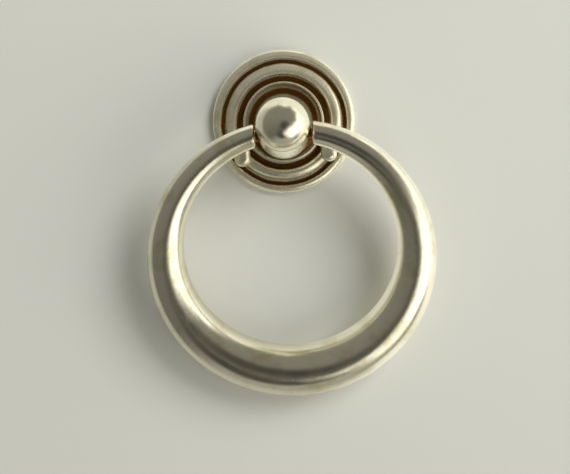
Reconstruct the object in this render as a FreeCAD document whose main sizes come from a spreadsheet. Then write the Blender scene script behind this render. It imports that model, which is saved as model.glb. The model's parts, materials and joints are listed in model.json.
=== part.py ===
import FreeCAD, Part
import math
import os
import Sketcher

# Ring pull handle: a beaded rosette, a ball-headed post and a tapered ring that swings on two pegs.
# Frame: origin at the middle of the rosette's back face, +Z out of the drawer front, +Y towards the handle's top.
# All lengths are millimetres.

doc = FreeCAD.newDocument("ring_pull")
sheet = doc.addObject("Spreadsheet::Sheet", "Sizes")

# Sizes that can each be set alone
driving = {
    "ball_radius": 5.4,
    "ball_rise": 4.3,
    "neck_radius": 5.0,
    "neck_rise": 3.2,
    "knuckle_radius": 5.15,
    "knuckle_head_drop": 2.2,
    "knuckle_foot_drop": 3.2,
    "corbel_height": 4.0,
    "stem_radius": 5.0,
    "stem_drop": 0.2,
    "pivot_height": 14.75,
    "pivot_drop": 2.1,
    "spigot_radius": 3.0,
    "spigot_clearance": 0.05,
    "screw_hole_radius": 1.65,
    "screw_hole_depth": 9.0,
    "seat_height": 1.6,
    "seat_margin": 1.5,
    "cove_radius": 1.3,
    "ridge_wall": 0.2,
    "ridge_width": 0.5,
    "inner_groove_width": 1.4,
    "broad_bead_width": 2.5,
    "broad_bead_rise": 1.0,
    "outer_groove_width": 0.9,
    "rim_bead_width": 1.7,
    "rim_bead_rise": 0.65,
    "groove_floor": 1.8,
    "lug_spacing": 18.3,
    "lug_width": 3.4,
    "lug_start": 4.2,
    "lug_length": 3.0,
    "lug_rise": 1.5,
    "lug_round": 1.2,
    "ring_mean_radius": 26.07,
    "arm_diameter": 4.7,
    "belly_diameter": 11.0,
    "arm_gap": 0.65,
    "arm_end_round": 0.45,
    "peg_radius": 1.2,
    "peg_clearance": 0.05,
    "peg_length": 2.6,
    "peg_root": 1.0,
    "rest_gap": 0.1,
}

# Sizes that follow from the driving ones
derived = {
    "ball_height": "=pivot_height + ball_rise",
    "neck_height": "=pivot_height + neck_rise",
    "knuckle_top": "=pivot_height - knuckle_head_drop",
    "knuckle_bottom": "=pivot_height - knuckle_foot_drop",
    "corbel_bottom": "=knuckle_bottom - corbel_height",
    "foot_reach": "=stem_radius + stem_drop",
    "rosette_hole_radius": "=spigot_radius + spigot_clearance",
    "seat_radius": "=foot_reach + seat_margin",
    "cup_radius": "=seat_radius + cove_radius",
    "cove_top": "=seat_height + cove_radius",
    "ridge_side": "=cove_top + ridge_wall",
    "ridge_height": "=ridge_side + ridge_width / 2",
    "ridge_outer_radius": "=cup_radius + ridge_width",
    "bead_inner_radius": "=ridge_outer_radius + inner_groove_width",
    "bead_outer_radius": "=bead_inner_radius + broad_bead_width",
    "rim_inner_radius": "=bead_outer_radius + outer_groove_width",
    "rosette_radius": "=rim_inner_radius + rim_bead_width",
    "broad_bead_radius": "=(broad_bead_width ^ 2 / 4 + broad_bead_rise ^ 2) / (2 * broad_bead_rise)",
    "rim_bead_radius": "=(rim_bead_width ^ 2 / 4 + rim_bead_rise ^ 2) / (2 * rim_bead_rise)",
    "lug_end": "=lug_start + lug_length",
    "lug_height": "=ridge_height + lug_rise",
    "lug_radius": "=lug_width / 2",
    "lug_inner_side": "=lug_spacing / 2 - lug_width / 2",
    "lug_outer_side": "=lug_spacing / 2 + lug_width / 2",
    "arm_end": "=knuckle_radius + arm_gap",
    "section_mean_radius": "=(arm_diameter + belly_diameter) / 4",
    "section_taper": "=(belly_diameter - arm_diameter) / 4",
    "ring_centre_drop": "=sqrt(ring_mean_radius ^ 2 - arm_end ^ 2)",
    "belly_reach": "=ring_centre_drop + ring_mean_radius",
    "ring_tilt": "=asin((pivot_height - belly_diameter / 2 - rest_gap) / belly_reach)",
    "peg_tip": "=arm_end - peg_length",
    "peg_hole_radius": "=peg_radius + peg_clearance",
}


def fillSheet(values, firstRow):
    for row, (name, value) in enumerate(values.items(), firstRow):
        sheet.set(f"A{row}", name.replace("_", " "))
        sheet.set(f"B{row}", str(value))
        sheet.setAlias(f"B{row}", name)


def measure(name):
    number = 0.0 if name.lstrip("-") == "0" else float(sheet.get(name.lstrip("-")))
    return -number if name.startswith("-") else number


def measureAngle(name):
    return FreeCAD.Units.Quantity(sheet.get(name)).Value


def bind(item, target, expression):
    item.setExpression(target, expression)


def originPlane(body, role):
    return next(feature for feature in body.Origin.OriginFeatures if feature.Role == role)


def addSketch(body, name, role, lift=None):
    sketch = body.newObject("Sketcher::SketchObject", name)
    sketch.AttachmentSupport = [(originPlane(body, role), "")]
    sketch.MapMode = "FlatFace"
    if lift:
        bind(sketch, "AttachmentOffset.Base.z", lift)
    return sketch


def locate(sketch, geometry, point, axis, name):
    # Ties one coordinate of a sketch point to a named size, or to the axis where it is zero
    alias = name.lstrip("-")
    if alias == "0":
        axisLine = -2 if axis == "X" else -1
        sketch.addConstraint(Sketcher.Constraint("PointOnObject", geometry, point, axisLine))
        return
    ends = (geometry, point, -1, 1) if name.startswith("-") else (-1, 1, geometry, point)
    index = sketch.addConstraint(Sketcher.Constraint("Distance" + axis, *ends, measure(alias)))
    bind(sketch, f"Constraints[{index}]", "Sizes." + alias)


def addArc(sketch, start, stop, radius, turn):
    # turn is 1 for an arc that bends to the left on the way from start to stop, and -1 to the right
    chord = stop - start
    rise = math.sqrt(max(radius ** 2 - (chord.Length / 2) ** 2, 0.0))
    left = FreeCAD.Vector(-chord.y, chord.x, 0).normalize()
    centre = (start + stop) * 0.5 + left * (rise * turn)
    first, last = (start, stop) if turn > 0 else (stop, start)
    angles = [math.atan2(spot.y - centre.y, spot.x - centre.x) for spot in (first, last)]
    circle = Part.Circle(centre, FreeCAD.Vector(0, 0, 1), radius)
    return sketch.addGeometry(Part.ArcOfCircle(circle, *angles))


def closedProfile(sketch, corners, arcs):
    # arcs: the side that starts at a corner -> (radius, turn), with a third name for a half round's centre height
    spots = [FreeCAD.Vector(measure(x), measure(y), 0) for x, y in corners]
    sides = []
    for index, start in enumerate(spots):
        stop = spots[(index + 1) % len(spots)]
        if index not in arcs:
            sides.append((sketch.addGeometry(Part.LineSegment(start, stop)), 1, 2))
            continue
        half = len(arcs[index]) == 3
        radius = (stop - start).Length / 2 if half else measure(arcs[index][0])
        arc = addArc(sketch, start, stop, radius, arcs[index][1])
        sides.append((arc, 1, 2) if arcs[index][1] > 0 else (arc, 2, 1))
    for index, (geometry, first, last) in enumerate(sides):
        following = sides[(index + 1) % len(sides)]
        sketch.addConstraint(Sketcher.Constraint("Coincident", geometry, last, following[0], following[1]))
        locate(sketch, geometry, first, "X", corners[index][0])
        locate(sketch, geometry, first, "Y", corners[index][1])
    for index, arc in arcs.items():
        if len(arc) == 3:
            locate(sketch, sides[index][0], 3, "Y", arc[2])
            continue
        number = sketch.addConstraint(Sketcher.Constraint("Radius", sides[index][0], measure(arc[0])))
        bind(sketch, f"Constraints[{number}]", "Sizes." + arc[0])


def addCircle(sketch, x, y, radiusName, radiusExpression=None):
    centre = FreeCAD.Vector(measure(x), measure(y), 0)
    circle = sketch.addGeometry(Part.Circle(centre, FreeCAD.Vector(0, 0, 1), measure(radiusName)))
    locate(sketch, circle, 3, "X", x)
    locate(sketch, circle, 3, "Y", y)
    index = sketch.addConstraint(Sketcher.Constraint("Radius", circle, measure(radiusName)))
    bind(sketch, f"Constraints[{index}]", radiusExpression or "Sizes." + radiusName)


def addPad(body, name, sketch, length):
    pad = body.newObject("PartDesign::Pad", name)
    pad.Profile = sketch
    bind(pad, "Length", length)
    return pad


def addMirror(body, name, feature):
    mirror = body.newObject("PartDesign::Mirrored", name)
    mirror.Originals = [feature]
    mirror.MirrorPlane = (originPlane(body, "YZ_Plane"), [""])
    body.Tip = mirror
    return mirror


def addFillet(body, name, base, edges, radius):
    fillet = body.newObject("PartDesign::Fillet", name)
    fillet.Base = (base, edges)
    bind(fillet, "Radius", "Sizes." + radius)
    return fillet


def edgesWhere(shape, test):
    return [f"Edge{number}" for number, edge in enumerate(shape.Edges, 1) if test(edge)]


def edgesAtHeight(shape, height):
    tolerance = 0.001
    return edgesWhere(shape, lambda edge: all(abs(v.Z - height) < tolerance for v in edge.Vertexes)
                      and abs(edge.CenterOfMass.z - height) < tolerance)


def makeRosette():
    # One turned profile: rim bead, groove, broad bead, groove, thin ridge, sunk seat and centre hole
    body = doc.addObject("PartDesign::Body", "rosette")
    profile = addSketch(body, "rosette_profile", "XZ_Plane")
    corners = [
        ("rosette_hole_radius", "0"),
        ("rosette_radius", "0"),
        ("rosette_radius", "groove_floor"),
        ("rim_inner_radius", "groove_floor"),
        ("bead_outer_radius", "groove_floor"),
        ("bead_inner_radius", "groove_floor"),
        ("ridge_outer_radius", "groove_floor"),
        ("ridge_outer_radius", "ridge_side"),
        ("cup_radius", "ridge_side"),
        ("cup_radius", "cove_top"),
        ("seat_radius", "seat_height"),
        ("rosette_hole_radius", "seat_height"),
    ]
    arcs = {
        2: ("rim_bead_radius", 1),
        4: ("broad_bead_radius", 1),
        7: ("ridge_width", 1, "ridge_side"),
        9: ("cove_radius", -1),
    }
    closedProfile(profile, corners, arcs)
    turned = body.newObject("PartDesign::Revolution", "rosette_turned")
    turned.Profile = profile
    turned.ReferenceAxis = (profile, ["V_Axis"])
    turned.Angle = 360
    doc.recompute()

    # Two round-ended lugs stand on the beads under the ring's arms
    plan = addSketch(body, "lug_plan", "XY_Plane")
    corners = [
        ("lug_inner_side", "-lug_start"),
        ("lug_inner_side", "-lug_end"),
        ("lug_outer_side", "-lug_end"),
        ("lug_outer_side", "-lug_start"),
    ]
    closedProfile(plan, corners, {1: ("lug_radius", 1, "-lug_end"), 3: ("lug_radius", 1, "-lug_start")})
    lug = addPad(body, "lug", plan, "Sizes.lug_height")
    doc.recompute()
    lugs = addMirror(body, "lugs", lug)
    doc.recompute()
    addFillet(body, "lug_tops", lugs, edgesAtHeight(lugs.Shape, measure("lug_height")), "lug_round")
    return body


def addStemSection(body, name, height, radius, drop):
    # A round whose lower half is drawn down towards the pivot
    section = addSketch(body, name, "XY_Plane", "Sizes." + height)
    corners = [
        (radius, "0"),
        ("-" + radius, "0"),
        ("-" + radius, "-" + drop),
        (radius, "-" + drop),
    ]
    closedProfile(section, corners, {0: (radius, 1, "0"), 2: (radius, 1, "-" + drop)})
    return section


def makePost():
    # The stem swells on its lower side into a knuckle that carries the pivot, then slopes back in under the ball
    body = doc.addObject("PartDesign::Body", "post")
    sections = [
        addStemSection(body, "foot", "seat_height", "stem_radius", "stem_drop"),
        addStemSection(body, "corbel_foot", "corbel_bottom", "stem_radius", "stem_drop"),
        addStemSection(body, "knuckle_foot", "knuckle_bottom", "knuckle_radius", "pivot_drop"),
        addStemSection(body, "knuckle_head", "knuckle_top", "knuckle_radius", "pivot_drop"),
        addStemSection(body, "neck", "neck_height", "neck_radius", "stem_drop"),
    ]
    doc.recompute()
    stem = body.newObject("PartDesign::AdditiveLoft", "stem")
    stem.Profile = sections[0]
    stem.Sections = sections[1:]
    stem.Ruled = True
    doc.recompute()

    ball = body.newObject("PartDesign::AdditiveSphere", "ball")
    ball.AttachmentSupport = [(originPlane(body, "XY_Plane"), "")]
    ball.MapMode = "FlatFace"
    bind(ball, "Radius", "Sizes.ball_radius")
    bind(ball, "AttachmentOffset.Base.z", "Sizes.ball_height")
    doc.recompute()

    spigotPlan = addSketch(body, "spigot_plan", "XY_Plane")
    addCircle(spigotPlan, "0", "0", "spigot_radius")
    addPad(body, "spigot", spigotPlan, "Sizes.seat_height")
    doc.recompute()

    # The screw hole comes in from behind, and the pivot hole runs across from cheek to cheek
    screwPlan = addSketch(body, "screw_hole_plan", "XY_Plane")
    addCircle(screwPlan, "0", "0", "screw_hole_radius")
    screwHole = body.newObject("PartDesign::Pocket", "screw_hole")
    screwHole.Profile = screwPlan
    screwHole.Reversed = True
    bind(screwHole, "Length", "Sizes.screw_hole_depth")
    doc.recompute()

    pivotPlan = addSketch(body, "pivot_plan", "YZ_Plane")
    addCircle(pivotPlan, "-pivot_drop", "pivot_height", "peg_hole_radius")
    pivotHole = body.newObject("PartDesign::Pocket", "pivot_hole")
    pivotHole.Profile = pivotPlan
    pivotHole.Midplane = True
    bind(pivotHole, "Length", "4 * Sizes.knuckle_radius")
    return body


def makeRing():
    # Drawn flat with the pivot along X at its own origin, then tilted so that its belly meets the drawer front.
    # The section's centre keeps to one circle while its radius grows from the arms to the belly.
    # Angles run from the belly, and the outermost sections lie past the arm ends, which are cut back below.
    body = doc.addObject("PartDesign::Body", "ring")
    stations = 17
    lastAngle = 171.0
    sections = []
    for number in range(stations):
        angle = -lastAngle + 2 * lastAngle * number / (stations - 1)
        section = addSketch(body, f"section_{number + 1}", "XZ_Plane")
        turn = FreeCAD.Rotation(FreeCAD.Vector(0, 1, 0), angle - 90)
        section.AttachmentOffset = FreeCAD.Placement(FreeCAD.Vector(0, 0, measure("ring_centre_drop")), turn)
        bind(section, "AttachmentOffset.Base.z", "Sizes.ring_centre_drop")
        radius = f"Sizes.section_mean_radius + Sizes.section_taper * cos({angle} deg)"
        addCircle(section, "ring_mean_radius", "0", "section_mean_radius", radius)
        sections.append(section)
    doc.recompute()
    bow = body.newObject("PartDesign::AdditiveLoft", "bow")
    bow.Profile = sections[0]
    bow.Sections = sections[1:]
    doc.recompute()

    # The two arms end in flat cuts that face the post's cheeks
    gapPlan = addSketch(body, "arm_gap_plan", "XY_Plane")
    corners = [
        ("arm_end", "arm_diameter"),
        ("-arm_end", "arm_diameter"),
        ("-arm_end", "-arm_diameter"),
        ("arm_end", "-arm_diameter"),
    ]
    closedProfile(gapPlan, corners, {})
    gap = body.newObject("PartDesign::Pocket", "arm_gap_cut")
    gap.Profile = gapPlan
    gap.Midplane = True
    bind(gap, "Length", "4 * Sizes.arm_diameter")
    doc.recompute()

    armEnd = measure("arm_end")
    tolerance = 0.001
    rims = edgesWhere(gap.Shape, lambda edge: all(abs(abs(v.X) - armEnd) < tolerance for v in edge.Vertexes)
                      and abs(abs(edge.CenterOfMass.x) - armEnd) < tolerance)
    addFillet(body, "arm_end_rounds", gap, rims, "arm_end_round")
    doc.recompute()

    pegPlan = addSketch(body, "peg_plan", "YZ_Plane", "Sizes.peg_tip")
    addCircle(pegPlan, "0", "0", "peg_radius")
    peg = addPad(body, "peg", pegPlan, "Sizes.peg_length + Sizes.peg_root")
    doc.recompute()
    addMirror(body, "pegs", peg)
    body.Placement.Rotation = FreeCAD.Rotation(FreeCAD.Vector(1, 0, 0), measureAngle("ring_tilt"))
    bind(body, "Placement.Base.y", "-Sizes.pivot_drop")
    bind(body, "Placement.Base.z", "Sizes.pivot_height")
    bind(body, "Placement.Rotation.Angle", "Sizes.ring_tilt")
    return body


def checkAndExport(bodies):
    doc.recompute()
    for item in doc.Objects:
        if "Invalid" in item.State or "Error" in item.State:
            raise RuntimeError(f"{item.Label} failed: {item.State}")
    for body in bodies:
        shape = body.Shape
        if shape.isNull() or not shape.isValid() or len(shape.Solids) != 1:
            raise RuntimeError(f"{body.Label} isn't one valid solid")
    os.makedirs("parts", exist_ok=True)
    for body in bodies:
        body.Shape.exportStep(f"parts/{body.Label}.step")
        print(body.Label, round(body.Shape.Volume, 1), "mm3")


fillSheet(driving, 1)
doc.recompute()
fillSheet(derived, len(driving) + 1)
doc.recompute()
checkAndExport([makeRosette(), makePost(), makeRing()])
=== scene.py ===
import json
import math

import bmesh
import bpy
from mathutils import Matrix, Vector


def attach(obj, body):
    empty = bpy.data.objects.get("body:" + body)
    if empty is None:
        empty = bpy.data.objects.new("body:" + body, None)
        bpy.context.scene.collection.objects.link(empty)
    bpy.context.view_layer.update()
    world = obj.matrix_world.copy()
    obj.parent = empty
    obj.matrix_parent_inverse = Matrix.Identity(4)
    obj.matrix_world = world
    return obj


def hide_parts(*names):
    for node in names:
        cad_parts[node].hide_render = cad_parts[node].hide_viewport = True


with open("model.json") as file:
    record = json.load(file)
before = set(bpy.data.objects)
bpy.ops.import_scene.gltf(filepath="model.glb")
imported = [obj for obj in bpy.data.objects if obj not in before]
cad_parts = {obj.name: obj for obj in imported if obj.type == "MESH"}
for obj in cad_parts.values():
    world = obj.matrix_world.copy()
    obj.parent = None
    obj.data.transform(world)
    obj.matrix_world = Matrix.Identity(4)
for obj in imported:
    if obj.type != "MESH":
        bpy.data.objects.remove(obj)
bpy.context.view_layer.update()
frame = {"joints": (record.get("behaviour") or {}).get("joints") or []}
mm = 0.001
hair = 0.001 * mm                 # shorter than any real length here
pivot = Vector(frame["joints"][0]["pos_m"])
print("frame loaded, pivot at", [round(v / mm, 2) for v in pivot])

meshSettings = {
    "mergeMm": 0.002,             # points closer than this become one
    "sharpDegrees": 38,           # edges that turn more than this stay sharp
}


def linear(hexColour):
    # sRGB hex to linear, with alpha
    parts = [int(hexColour[i:i + 2], 16) / 255 for i in (1, 3, 5)]
    return [p / 12.92 if p <= 0.04045 else ((p + 0.055) / 1.055) ** 2.4 for p in parts] + [1.0]


def addNode(tree, kind, inputs=None, **settings):
    # inputs: socket name or number -> a value, or another node's output
    node = tree.nodes.new(kind)
    for key, value in settings.items():
        setattr(node, key, value)
    for key, value in (inputs or {}).items():
        if isinstance(value, bpy.types.NodeSocket):
            tree.links.new(value, node.inputs[key])
        else:
            node.inputs[key].default_value = value
    return node


def unique(items):
    # each item once, in the order they come
    return list(dict.fromkeys(items))


def onlyOf(kind, geom):
    return [g for g in geom if isinstance(g, kind)]


def extrudeLoop(bm, edges, matrix):
    # pulls an open loop out and moves the new one
    made = bmesh.ops.extrude_edge_only(bm, edges=edges)["geom"]
    newVerts = onlyOf(bmesh.types.BMVert, made)
    bmesh.ops.transform(bm, matrix=matrix, verts=newVerts)
    return [e for e in onlyOf(bmesh.types.BMEdge, made) if all(v in newVerts for v in e.verts)]


def finishPiece(name, bm, material, body, node):
    s = meshSettings
    bmesh.ops.remove_doubles(bm, verts=bm.verts, dist=s["mergeMm"] * mm)
    bmesh.ops.recalc_face_normals(bm, faces=bm.faces)
    mesh = bpy.data.meshes.new(name)
    bm.to_mesh(mesh)
    bm.free()
    mesh.shade_smooth()
    mesh.set_sharp_from_angle(angle=math.radians(s["sharpDegrees"]))
    mesh.materials.append(material)
    piece = bpy.data.objects.new(name, mesh)
    bpy.context.scene.collection.objects.link(piece)
    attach(piece, body)
    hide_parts(node)
    print(name, "made,", len(mesh.polygons), "faces")
    return piece


# Ring: round section that swells from the arms to the belly, on one circle

ringSettings = {
    "meanRadius": 26.07,
    "armDiameter": 4.7,
    "bellyDiameter": 11.0,
    "armEnd": 5.8,
    "armEndRound": 0.45,
    "armEndSteps": 5,
    "armZone": 8.0,               # only what lies this close below the pivot is cut
    "pegRadius": 1.2,
    "pegLength": 2.6,
    "pegRoot": 1.0,
    "pegSegments": 40,
    "restGap": 0.1,
    "sectionSegments": 72,
    "sweepSteps": 240,
}


def makeRing(material):
    s = ringSettings
    mean, end = s["meanRadius"] * mm, s["armEnd"] * mm
    drop = math.sqrt(mean ** 2 - end ** 2)
    centre = Vector((0, -drop, 0))
    bm = bmesh.new()
    start = Matrix.Translation(centre + Vector((0, mean, 0))) @ Matrix.Rotation(math.pi / 2, 4, "Y")
    bmesh.ops.create_circle(bm, segments=s["sectionSegments"], radius=mm, matrix=start)
    bmesh.ops.spin(bm, geom=bm.verts[:] + bm.edges[:], cent=centre, axis=(0, 0, 1), angle=2 * math.pi,
                   steps=s["sweepSteps"], use_merge=True)
    # each section keeps its middle on the circle and takes its own radius
    meanSection = (s["armDiameter"] + s["bellyDiameter"]) / 4
    taper = (s["bellyDiameter"] - s["armDiameter"]) / 4
    for v in bm.verts:
        out = Vector((v.co.x, v.co.y + drop, 0)).normalized()
        middle = centre + out * mean
        v.co = middle + (v.co - middle) * (meanSection - taper * out.y)
    # the arms end in flat cuts with a small round
    endRound, armRadius = s["armEndRound"] * mm, s["armDiameter"] / 2 * mm
    for side in (1, -1):
        near = [f for f in bm.faces if f.calc_center_median().y > -s["armZone"] * mm
                and f.calc_center_median().x * side >= 0]
        geom = near + unique(e for f in near for e in f.edges) + unique(v for f in near for v in f.verts)
        bmesh.ops.bisect_plane(bm, geom=geom, plane_co=(side * (end + endRound), 0, 0),
                               plane_no=(side, 0, 0), clear_inner=True)
    for side in (1, -1):
        loop = [e for e in bm.edges if e.is_boundary and e.verts[0].co.x * side > 0]
        here, size = 0.0, 1.0
        for step in range(1, s["armEndSteps"] + 1):
            angle = math.pi / 2 * step / s["armEndSteps"]
            newHere = endRound * math.sin(angle)
            newSize = 1 - endRound / armRadius * (1 - math.cos(angle))
            grow = newSize / size
            slide = Matrix.Translation((-side * (newHere - here), 0, 0))
            loop = extrudeLoop(bm, loop, slide @ Matrix.Diagonal((1, grow, grow, 1)))
            here, size = newHere, newSize
        bmesh.ops.holes_fill(bm, edges=loop)
        length = s["pegLength"] + s["pegRoot"]
        place = Matrix.Translation((side * (s["armEnd"] + s["pegRoot"] - length / 2) * mm, 0, 0))
        bmesh.ops.create_cone(bm, cap_ends=True, segments=s["pegSegments"], radius1=s["pegRadius"] * mm,
                              radius2=s["pegRadius"] * mm, depth=length * mm,
                              matrix=place @ Matrix.Rotation(math.pi / 2, 4, "Y"))
    # tilted so that the belly comes down to the drawer front
    fall = pivot.z - (s["bellyDiameter"] / 2 + s["restGap"]) * mm
    tilt = Matrix.Rotation(math.asin(fall / (drop + mean)), 4, "X")
    bmesh.ops.transform(bm, matrix=Matrix.Translation(pivot) @ tilt, verts=bm.verts)
    return finishPiece("ring_polished", bm, material, "ring", "ring")


# Rosette: one turned profile, from the centre hole round the back to the rim and over the beads

rosetteSettings = {
    "holeRadius": 3.05,
    "seatHeight": 1.6,
    "seatRadius": 6.7,
    "cove": 1.3,
    "coveSteps": 8,
    "ridgeWidth": 0.5,
    "ridgeHeight": 3.35,
    "ridgeSteps": 14,
    "innerGroove": 1.4,
    "broadBead": (2.5, 1.0, 0.75),    # width, rise, and how far its crest is from its inner edge
    "outerGroove": 0.9,
    "rimBead": (1.7, 0.65, 0.5),
    "beadSteps": 16,
    "grooveFloor": 1.8,
    "lugSpacing": 18.3,
    "lugWidth": 3.4,
    "lugStart": 4.2,
    "lugLength": 3.0,
    "lugFoot": 1.0,               # the lugs start at this height, inside the plate
    "lugRise": 1.5,
    "lugRound": 1.2,
    "lugSegments": 48,
    "lugRoundSegments": 8,
    "turnSteps": 192,
}


def lineTo(bm, last, r, z):
    vert = bmesh.ops.extrude_vert_indiv(bm, verts=[last])["verts"][0]
    vert.co = (r * mm, 0, z * mm)
    return vert


def arcTo(bm, last, r, z, degrees, steps):
    # turns the last point about (r, z), anticlockwise where degrees is positive
    made = bmesh.ops.spin(bm, geom=[last], cent=(r * mm, 0, z * mm), axis=(0, -1, 0),
                          angle=math.radians(degrees), steps=steps)["geom_last"]
    return onlyOf(bmesh.types.BMVert, made)[0]


def beadOver(bm, last, outer, bead, floor, steps):
    # up a long outer slope to the crest, and down a short inner one
    width, rise, inner = bead
    crest = outer - (width - inner)
    for span in (width - inner, inner):
        radius = (span ** 2 + rise ** 2) / (2 * rise)
        sweep = math.degrees(math.atan2(span, radius - rise))
        last = arcTo(bm, last, crest, floor + rise - radius, sweep, steps)
    return last


def roundEndedLoop(bm, x, y, z, radius, length, segments):
    # a circle pulled out towards -Y
    made = bmesh.ops.create_circle(bm, segments=segments, radius=radius * mm,
                                   matrix=Matrix.Translation((x * mm, y * mm, z * mm)))["verts"]
    low = [v for v in made if v.co.y < y * mm - hair]
    bmesh.ops.translate(bm, verts=low, vec=(0, -length * mm, 0))
    return unique(e for v in made for e in v.link_edges)


def makeRosette(material):
    s = rosetteSettings
    floor = s["grooveFloor"]
    cup = s["seatRadius"] + s["cove"]
    coveTop = s["seatHeight"] + s["cove"]
    ridgeOut = cup + s["ridgeWidth"]
    ridgeSide = s["ridgeHeight"] - s["ridgeWidth"] / 2
    beadIn = ridgeOut + s["innerGroove"]
    beadOut = beadIn + s["broadBead"][0]
    rimIn = beadOut + s["outerGroove"]
    rimOut = rimIn + s["rimBead"][0]
    bm = bmesh.new()
    last = bm.verts.new((s["holeRadius"] * mm, 0, 0))
    last = lineTo(bm, last, rimOut, 0)
    last = lineTo(bm, last, rimOut, floor)
    last = beadOver(bm, last, rimOut, s["rimBead"], floor, s["beadSteps"])
    last = lineTo(bm, last, beadOut, floor)
    last = beadOver(bm, last, beadOut, s["broadBead"], floor, s["beadSteps"])
    last = lineTo(bm, last, ridgeOut, floor)
    last = lineTo(bm, last, ridgeOut, ridgeSide)
    last = arcTo(bm, last, cup + s["ridgeWidth"] / 2, ridgeSide, 180, s["ridgeSteps"])
    last = lineTo(bm, last, cup, coveTop)
    last = arcTo(bm, last, s["seatRadius"], coveTop, -90, s["coveSteps"])
    last = lineTo(bm, last, s["holeRadius"], s["seatHeight"])
    lineTo(bm, last, s["holeRadius"], 0)
    bmesh.ops.spin(bm, geom=bm.verts[:] + bm.edges[:], cent=(0, 0, 0), axis=(0, 0, 1), angle=2 * math.pi,
                   steps=s["turnSteps"], use_merge=True)
    bmesh.ops.remove_doubles(bm, verts=bm.verts, dist=meshSettings["mergeMm"] * mm)
    # two round-ended lugs under the ring's arms
    for side in (1, -1):
        base = roundEndedLoop(bm, side * s["lugSpacing"] / 2, -s["lugStart"], s["lugFoot"],
                              s["lugWidth"] / 2, s["lugLength"], s["lugSegments"])
        bottom = bmesh.ops.holes_fill(bm, edges=base)["faces"]
        top = bmesh.ops.extrude_face_region(bm, geom=bottom, use_keep_orig=True)["geom"]
        rise = s["ridgeHeight"] + s["lugRise"] - s["lugFoot"]
        bmesh.ops.translate(bm, verts=onlyOf(bmesh.types.BMVert, top), vec=(0, 0, rise * mm))
        rim = unique(e for f in onlyOf(bmesh.types.BMFace, top) for e in f.edges)
        bmesh.ops.bevel(bm, geom=rim, offset=s["lugRound"] * mm, offset_type="OFFSET",
                        segments=s["lugRoundSegments"], profile=0.5, affect="EDGES", clamp_overlap=True,
                        material=-1)
    return finishPiece("rosette_cast", bm, material, "base", "rosette")


# Post: screw hole, spigot, stem with the knuckle that carries the pivot, and the ball on top

postSettings = {
    "screwRadius": 1.65,
    "screwDepth": 9.0,
    "spigotRadius": 3.0,
    "stemSections": [             # height, radius, and how far the lower half is drawn down
        (1.6, 5.0, 0.2),
        (7.55, 5.0, 0.2),
        (11.55, 5.15, 2.1),
        (12.55, 5.15, 2.1),
        (17.95, 5.0, 0.2),
    ],
    "knuckleRound": 0.5,
    "knuckleSegments": 6,
    "pegHoleRadius": 1.25,
    "pegHoleSegments": 40,
    "ballRadius": 5.4,
    "ballRise": 4.3,
    "ballCut": 1.6,               # how far above the pivot the ball ends inside the stem
    "ballSegments": (128, 80),
    "segments": 96,
}


def drillAcross(bm, radius, length, segments, place):
    # takes a round hole along X out of a closed mesh
    solids = []
    for name in ("stem", "drill"):
        solids.append(bpy.data.objects.new(name, bpy.data.meshes.new(name)))
        bpy.context.scene.collection.objects.link(solids[-1])
    stem, drill = solids
    bmesh.ops.recalc_face_normals(bm, faces=bm.faces)
    bm.to_mesh(stem.data)
    bm.clear()
    bmesh.ops.create_cone(bm, cap_ends=True, segments=segments, radius1=radius, radius2=radius, depth=length,
                          matrix=Matrix.Translation(place) @ Matrix.Rotation(math.pi / 2, 4, "Y"))
    bm.to_mesh(drill.data)
    bm.clear()
    cut = stem.modifiers.new("hole", "BOOLEAN")
    cut.operation = "DIFFERENCE"
    cut.object = drill
    bm.from_object(stem, bpy.context.evaluated_depsgraph_get())
    for solid in solids:
        bpy.data.meshes.remove(solid.data)


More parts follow.
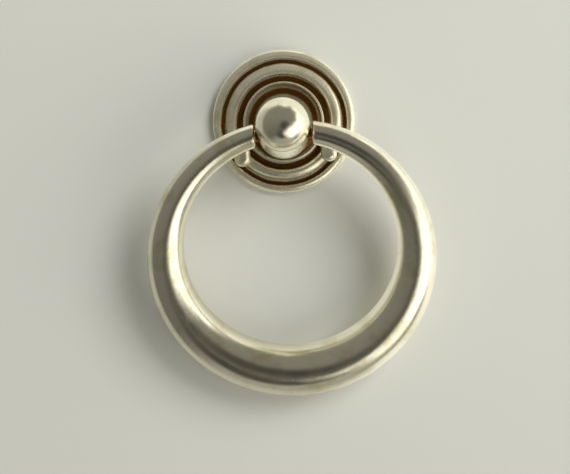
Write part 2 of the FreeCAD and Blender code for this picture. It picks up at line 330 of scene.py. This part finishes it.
def makePost(material):
    s = postSettings
    bm = bmesh.new()
    made = bmesh.ops.create_circle(bm, segments=s["segments"], radius=s["screwRadius"] * mm,
                                   matrix=Matrix.Translation((0, 0, s["screwDepth"] * mm)))["verts"]
    loop = unique(e for v in made for e in v.link_edges)
    bmesh.ops.holes_fill(bm, edges=loop)
    loop = extrudeLoop(bm, loop, Matrix.Translation((0, 0, -s["screwDepth"] * mm)))
    grow = s["spigotRadius"] / s["screwRadius"]
    loop = extrudeLoop(bm, loop, Matrix.Diagonal((grow, grow, 1, 1)))
    # each further section is the last one with its lower half put back, resized and drawn down again
    here, size, drop = 0.0, s["spigotRadius"], 0.0
    sections = [(s["stemSections"][0][0], s["spigotRadius"], 0.0)] + s["stemSections"]
    knuckleDrop = max(section[2] for section in sections)
    knuckle = []
    for height, radius, newDrop in sections:
        loop = extrudeLoop(bm, loop, Matrix.Translation((0, 0, (height - here) * mm)))
        verts = unique(v for e in loop for v in e.verts)
        low = [v for v in verts if v.co.y < -hair]
        bmesh.ops.translate(bm, verts=low, vec=(0, drop * mm, 0))
        bmesh.ops.scale(bm, verts=verts, vec=(radius / size, radius / size, 1))
        bmesh.ops.translate(bm, verts=low, vec=(0, -newDrop * mm, 0))
        here, size, drop = height, radius, newDrop
        if newDrop == knuckleDrop:
            knuckle += loop
    bmesh.ops.holes_fill(bm, edges=loop)
    bmesh.ops.bevel(bm, geom=knuckle, offset=s["knuckleRound"] * mm, offset_type="OFFSET",
                    segments=s["knuckleSegments"], profile=0.5, affect="EDGES", clamp_overlap=True,
                    material=-1)
    # the drill reaches well past both cheeks
    drillAcross(bm, s["pegHoleRadius"] * mm, 4 * s["ballRadius"] * mm, s["pegHoleSegments"], pivot)
    around, upwards = s["ballSegments"]
    middle = Matrix.Translation((0, 0, pivot.z + s["ballRise"] * mm))
    ball = bmesh.ops.create_uvsphere(bm, u_segments=around, v_segments=upwards, radius=s["ballRadius"] * mm,
                                     matrix=middle)["verts"]
    # the ball ends in a flat inside the stem, clear of the peg hole
    ballEdges = unique(e for v in ball for e in v.link_edges)
    ballFaces = unique(f for v in ball for f in v.link_faces)
    cut = bmesh.ops.bisect_plane(bm, geom=ball + ballEdges + ballFaces,
                                 plane_co=(0, 0, pivot.z + s["ballCut"] * mm), plane_no=(0, 0, 1),
                                 clear_inner=True)["geom_cut"]
    bmesh.ops.holes_fill(bm, edges=onlyOf(bmesh.types.BMEdge, cut))
    return finishPiece("post_polished", bm, material, "base", "post")


# Metal: one silver plate, with a brown on other places of each piece: lacquer in the rosette's low places,
# painted shade round the ring's pegs, and darker low on the post's stem

silverSettings = {
    "bright": "#e6e1ca",          # worn high places
    "castBright": "#efe9ce",      # the same on the rosette, which is less buffed and paler
    "tarnish": "#cfc8a6",         # thin warm tarnish in patches
    "lacquerAndShade": "#704510",         # amber-brown lacquer left in the low places, and painted shade round the pegs
    "nick": "#3a3222",
    "roughness": (0.17, 0.27),
    "castRoughness": (0.20, 0.32),
    "castMetal": 0.74,            # the rosette is partly matt
    "patchMm": 6.0,
    "patchDetail": 5.0,
    "patchRoughness": 0.6,
    "patchSpan": (0.3, 0.7),      # noise levels between which a patch changes
    "tarnishSpan": (0.45, 0.75),
    "tumbleMm": 0.35,             # grain of the tumbled surface
    "tumbleDetail": 3.0,
    "tumbleDepth": 0.016,
    "waveMm": 7.0,                # slow unevenness of the casting
    "waveDetail": 1.0,
    "waveDepth": 0.03,
    "nickMm": 3.2,                # spacing of small dark nicks
    "nickEdge": (0.05, 0.02),     # and their size, as a share of the spacing
    "pegEdge": (5.78, 5.68),      # ring: painted shade on the pegs, by distance from the middle plane
    "pegReach": -10.0,            # and only above this place, so that the belly is left out
    "cheekEdge": (4.75, 4.95),    # post: painted shade on the two cheeks, close round the pegs
    "cheekReach": (3.4, 2.6),
    "footTop": (4.0, 2.2),        # and darker low on the stem, down in the rosette's cup
    # rosette: how much lacquer stays at each distance from the axis
    "grooves": [(0, 0.2), (5.9, 0.2), (6.3, 1), (7.3, 1), (7.7, 0), (8.5, 0), (8.7, 1), (9.8, 1), (10.0, 0),
                (12.35, 0), (12.5, 1), (13.2, 1), (13.35, 0)],
    "grooveShift": 0.25,          # the wear is a little lower than the middle
    "grooveUneven": 0.12,
    "grooveTop": (2.9, 2.5),      # the lacquer lies only below this height
    "backTop": 1.2,               # and nothing is lacquered behind this
    "rampReach": 15.0,
}


def makeSilver(name, lacquerAndShadeAt):
    # Silver-plated zinc casting, tumbled and buffed: shiny but softly broken up, olive in the shade,
    # and a brown lacquer stays where buffing doesn't reach
    # the same brown on the ring's pegs and the post's cheeks is painted shade, in the gap between arm ends
    # and knuckle
    s = silverSettings
    cast = lacquerAndShadeAt == "grooves"
    bright = linear(s["castBright" if cast else "bright"])
    smooth, dull = s["castRoughness" if cast else "roughness"]
    metal = s["castMetal"] if cast else 1.0
    material = bpy.data.materials.new(name)
    material.use_nodes = True
    tree = material.node_tree
    tree.nodes.clear()
    place = addNode(tree, "ShaderNodeTexCoord").outputs["Object"]
    parts = addNode(tree, "ShaderNodeSeparateXYZ", {"Vector": place})
    patches = addNode(tree, "ShaderNodeTexNoise", {
        "Vector": place, "Scale": 1 / (s["patchMm"] * mm), "Detail": s["patchDetail"],
        "Roughness": s["patchRoughness"]}).outputs["Fac"]
    grain = addNode(tree, "ShaderNodeTexNoise", {
        "Vector": place, "Scale": 1 / (s["tumbleMm"] * mm), "Detail": s["tumbleDetail"]})
    wave = addNode(tree, "ShaderNodeTexNoise", {
        "Vector": place, "Scale": 1 / (s["waveMm"] * mm), "Detail": s["waveDetail"]})
    nicks = addNode(tree, "ShaderNodeTexVoronoi", {"Vector": place, "Scale": 1 / (s["nickMm"] * mm)})
    nickMask = addNode(tree, "ShaderNodeMapRange", {
        "Value": nicks.outputs["Distance"], "From Min": s["nickEdge"][0], "From Max": s["nickEdge"][1]},
        interpolation_type="SMOOTHSTEP")
    tarnishMask = addNode(tree, "ShaderNodeMapRange", {
        "Value": patches, "From Min": s["tarnishSpan"][0], "From Max": s["tarnishSpan"][1]},
        interpolation_type="SMOOTHSTEP")
    roughness = addNode(tree, "ShaderNodeMapRange", {
        "Value": patches, "From Min": s["patchSpan"][0], "From Max": s["patchSpan"][1],
        "To Min": smooth, "To Max": dull})
    sideways = addNode(tree, "ShaderNodeMath", {0: parts.outputs["X"]}, operation="ABSOLUTE")
    # ring: painted shade on the pegs, in the gap between the arm ends and the knuckle
    if lacquerAndShadeAt == "pegs":
        peg = addNode(tree, "ShaderNodeMapRange", {
            "Value": sideways.outputs["Value"], "From Min": s["pegEdge"][0] * mm,
            "From Max": s["pegEdge"][1] * mm})
        atTop = addNode(tree, "ShaderNodeMath", {0: parts.outputs["Y"], 1: s["pegReach"] * mm},
                        operation="GREATER_THAN")
        mask = addNode(tree, "ShaderNodeMath", {0: peg.outputs["Result"], 1: atTop.outputs["Value"]},
                       operation="MULTIPLY")
    # post: painted shade on the cheeks round the pegs, and darker low on the stem
    elif lacquerAndShadeAt == "cheeks":
        outside = addNode(tree, "ShaderNodeMapRange", {
            "Value": sideways.outputs["Value"], "From Min": s["cheekEdge"][0] * mm,
            "From Max": s["cheekEdge"][1] * mm})
        fromPegs = addNode(tree, "ShaderNodeVectorMath", {
            0: place, 1: (0, 1, 1), 2: (0, -pivot.y, -pivot.z)}, operation="MULTIPLY_ADD")
        distance = addNode(tree, "ShaderNodeVectorMath", {0: fromPegs.outputs["Vector"]}, operation="LENGTH")
        close = addNode(tree, "ShaderNodeMapRange", {
            "Value": distance.outputs["Value"], "From Min": s["cheekReach"][0] * mm,
            "From Max": s["cheekReach"][1] * mm}, interpolation_type="SMOOTHSTEP")
        foot = addNode(tree, "ShaderNodeMapRange", {
            "Value": parts.outputs["Z"], "From Min": s["footTop"][0] * mm,
            "From Max": s["footTop"][1] * mm}, interpolation_type="SMOOTHSTEP")
        cheek = addNode(tree, "ShaderNodeMath", {0: outside.outputs["Result"], 1: close.outputs["Result"]},
                        operation="MULTIPLY")
        mask = addNode(tree, "ShaderNodeMath", {0: cheek.outputs["Value"], 1: foot.outputs["Result"]},
                       operation="MAXIMUM")
    else:
        lower = addNode(tree, "ShaderNodeMath", {0: parts.outputs["Y"], 1: s["grooveShift"] * mm},
                        operation="ADD")
        flat = addNode(tree, "ShaderNodeCombineXYZ", {"X": parts.outputs["X"], "Y": lower.outputs["Value"]})
        radius = addNode(tree, "ShaderNodeVectorMath", {0: flat.outputs["Vector"]}, operation="LENGTH")
        uneven = addNode(tree, "ShaderNodeMapRange", {
            "Value": patches, "From Min": s["patchSpan"][0], "From Max": s["patchSpan"][1],
            "To Min": -s["grooveUneven"] * mm, "To Max": s["grooveUneven"] * mm})
        spread = addNode(tree, "ShaderNodeMath", {0: radius.outputs["Value"], 1: uneven.outputs["Result"]},
                         operation="ADD")
        share = addNode(tree, "ShaderNodeMapRange", {
            "Value": spread.outputs["Value"], "From Max": s["rampReach"] * mm})
        ramp = addNode(tree, "ShaderNodeValToRGB", {"Fac": share.outputs["Result"]})
        stops = ramp.color_ramp.elements
        stops[0].color = [s["grooves"][0][1]] * 3 + [1]
        stops[1].color = [s["grooves"][-1][1]] * 3 + [1]
        for radiusMm, amount in s["grooves"][1:]:
            stops.new(radiusMm / s["rampReach"]).color = [amount] * 3 + [1]
        below = addNode(tree, "ShaderNodeMapRange", {
            "Value": parts.outputs["Z"], "From Min": s["grooveTop"][0] * mm,
            "From Max": s["grooveTop"][1] * mm}, interpolation_type="SMOOTHSTEP")
        mask = addNode(tree, "ShaderNodeMath", {0: ramp.outputs["Color"], 1: below.outputs["Result"]},
                       operation="MULTIPLY")
    front = addNode(tree, "ShaderNodeMath", {0: parts.outputs["Z"], 1: s["backTop"] * mm},
                    operation="GREATER_THAN")
    mask = addNode(tree, "ShaderNodeMath", {0: mask.outputs["Value"], 1: front.outputs["Value"]},
                   operation="MULTIPLY")
    # inputs 6 and 7 and output 2 are the colours of a mix
    colour = addNode(tree, "ShaderNodeMix", {
        "Factor": tarnishMask.outputs["Result"], 6: bright, 7: linear(s["tarnish"])},
        data_type="RGBA").outputs[2]
    # brown mixed in: lacquer in the rosette's grooves, painted shade round the pegs
    colour = addNode(tree, "ShaderNodeMix", {
        "Factor": mask.outputs["Value"], 6: colour, 7: linear(s["lacquerAndShade"])}, data_type="RGBA").outputs[2]
    colour = addNode(tree, "ShaderNodeMix", {
        "Factor": nickMask.outputs["Result"], 6: colour, 7: linear(s["nick"])}, data_type="RGBA").outputs[2]
    slow = addNode(tree, "ShaderNodeBump", {
        "Height": wave.outputs["Fac"], "Distance": s["waveDepth"] * mm})
    fine = addNode(tree, "ShaderNodeBump", {
        "Height": grain.outputs["Fac"], "Distance": s["tumbleDepth"] * mm, "Normal": slow.outputs["Normal"]})
    surface = addNode(tree, "ShaderNodeBsdfPrincipled", {
        "Base Color": colour, "Metallic": metal, "Roughness": roughness.outputs["Result"],
        "Normal": fine.outputs["Normal"]})
    addNode(tree, "ShaderNodeOutputMaterial", {"Surface": surface.outputs["BSDF"]})
    return material


ringPiece = makeRing(makeSilver("silver_plate_ring", "pegs"))
postPiece = makePost(makeSilver("silver_plate_post", "cheeks"))
rosettePiece = makeRosette(makeSilver("silver_plate_rosette", "grooves"))


# Stage: pale floor, a soft key lamp for the shadow, and a studio with a broad softbox for reflections

stageSettings = {
    "floor": "#e6e7df",
    "floorSize": 2.4,
    "floorRoughness": 0.4,
    "sheen": 0.45,                        # extra light off the floor's softbox side, for the metal only
    "sheenColour": "#ffffff",
    "sheenTowards": (1.0, 0.5, 0.0),
    "sheenEdge": (-0.035, 0.0),
    "surround": (0.16, 0.25),             # level of the studio in front and behind
    "surroundEdge": (-0.6, 0.6),
    "surroundTint": "#fffdf4",
    # painted over the surround in turn: direction, cosines where the edge starts and ends, and level
    "patches": [
        ((0.0, -1.0, 0.09), 0.70, 0.94, 0.42),        # low fill in front
        ((0.15, -0.09, 0.985), 0.90, 0.99, 0.045),    # dark overhead
        ((-0.06, -0.68, 0.73), 0.92, 0.975, 0.04),    # dark spot in front
        ((0.17, 0.98, -0.10), 0.95, 0.99, 1.6),       # softbox, from its low end behind to its high end
        ((0.70, 0.70, -0.10), 0.95, 0.99, 1.8),
        ((0.96, 0.26, 0.09), 0.914, 0.978, 1.8),
        ((0.895, -0.24, 0.375), 0.88, 0.965, 2.0),
        ((0.586, -0.527, 0.616), 0.89, 0.965, 2.0),
        ((0.241, -0.596, 0.766), 0.97, 0.9945, 1.3),
    ],
    "keyPlace": (0.45, 0.35, 0.55),
    "keySize": 0.4,
    "keyWatts": 3.5,
}


def makeFloor():
    s = stageSettings
    bm = bmesh.new()
    bmesh.ops.create_grid(bm, x_segments=1, y_segments=1, size=s["floorSize"] / 2)
    mesh = bpy.data.meshes.new("floor")
    bm.to_mesh(mesh)
    bm.free()
    # Satin-painted board: pale and even, with a soft sheen towards the softbox
    material = bpy.data.materials.new("painted_board")
    material.use_nodes = True
    tree = material.node_tree
    tree.nodes.clear()
    place = addNode(tree, "ShaderNodeTexCoord").outputs["Object"]
    towards = addNode(tree, "ShaderNodeVectorMath", {0: place, 1: s["sheenTowards"]}, operation="DOT_PRODUCT")
    mask = addNode(tree, "ShaderNodeMapRange", {
        "Value": towards.outputs["Value"], "From Min": s["sheenEdge"][0], "From Max": s["sheenEdge"][1],
        "To Max": s["sheen"]}, interpolation_type="SMOOTHSTEP")
    ray = addNode(tree, "ShaderNodeLightPath")
    shown = addNode(tree, "ShaderNodeMath", {0: ray.outputs["Is Glossy Ray"], 1: mask.outputs["Result"]},
                    operation="MULTIPLY")
    surface = addNode(tree, "ShaderNodeBsdfPrincipled", {
        "Base Color": linear(s["floor"]), "Roughness": s["floorRoughness"],
        "Emission Color": linear(s["sheenColour"]), "Emission Strength": shown.outputs["Value"]})
    addNode(tree, "ShaderNodeOutputMaterial", {"Surface": surface.outputs["BSDF"]})
    mesh.materials.append(material)
    floor = bpy.data.objects.new("floor", mesh)
    bpy.context.scene.collection.objects.link(floor)


def makeStudio():
    s = stageSettings
    world = bpy.data.worlds.new("studio")
    world.use_nodes = True
    tree = world.node_tree
    tree.nodes.clear()
    look = addNode(tree, "ShaderNodeTexCoord").outputs["Generated"]
    side = addNode(tree, "ShaderNodeSeparateXYZ", {"Vector": look}).outputs["Y"]
    level = addNode(tree, "ShaderNodeMapRange", {
        "Value": side, "From Min": s["surroundEdge"][0], "From Max": s["surroundEdge"][1],
        "To Min": s["surround"][0], "To Max": s["surround"][1]}).outputs["Result"]
    # inputs 2 and 3 and output 0 are the plain numbers of a mix
    for direction, edgeStart, edgeEnd, patchLevel in s["patches"]:
        aim = addNode(tree, "ShaderNodeVectorMath", {0: look, 1: Vector(direction).normalized()},
                      operation="DOT_PRODUCT")
        mask = addNode(tree, "ShaderNodeMapRange", {
            "Value": aim.outputs["Value"], "From Min": edgeStart, "From Max": edgeEnd},
            interpolation_type="SMOOTHSTEP")
        level = addNode(tree, "ShaderNodeMix", {
            "Factor": mask.outputs["Result"], 2: level, 3: patchLevel}).outputs[0]
    light = addNode(tree, "ShaderNodeBackground", {"Color": linear(s["surroundTint"]), "Strength": level})
    addNode(tree, "ShaderNodeOutputWorld", {"Surface": light.outputs["Background"]})
    bpy.context.scene.world = world
    lamp = bpy.data.lights.new("key", "AREA")
    lamp.size = s["keySize"]
    lamp.energy = s["keyWatts"]
    key = bpy.data.objects.new("key", lamp)
    key.location = s["keyPlace"]
    key.rotation_euler = Vector(s["keyPlace"]).to_track_quat("Z", "Y").to_euler()
    key.visible_glossy = False            # the metal shows the softbox and not this lamp
    bpy.context.scene.collection.objects.link(key)


cameraSettings = {
    "place": (3.8, 6.7, 256.9),
    "roll": 3.63,
    "pitch": 6.98,
    "yaw": -1.14,
    "lens": 75.79,
    "sensor": 36.0,
    "clipStart": 0.01,
}


def makeCamera():
    s = cameraSettings
    data = bpy.data.cameras.new("camera")
    data.sensor_fit = "HORIZONTAL"
    data.sensor_width = s["sensor"]
    data.lens = s["lens"]
    data.clip_start = s["clipStart"]
    camera = bpy.data.objects.new("camera", data)
    roll, pitch, yaw = (Matrix.Rotation(math.radians(s[name]), 4, axis)
                        for name, axis in (("roll", "Z"), ("pitch", "X"), ("yaw", "Y")))
    turn = (roll @ pitch @ yaw).transposed()
    camera.matrix_world = Matrix.Translation(Vector(s["place"]) * mm) @ turn
    bpy.context.scene.collection.objects.link(camera)
    bpy.context.scene.camera = camera


makeFloor()
makeStudio()
makeCamera()
bpy.context.scene.view_settings.view_transform = "Standard"
print("stage, light and camera set")
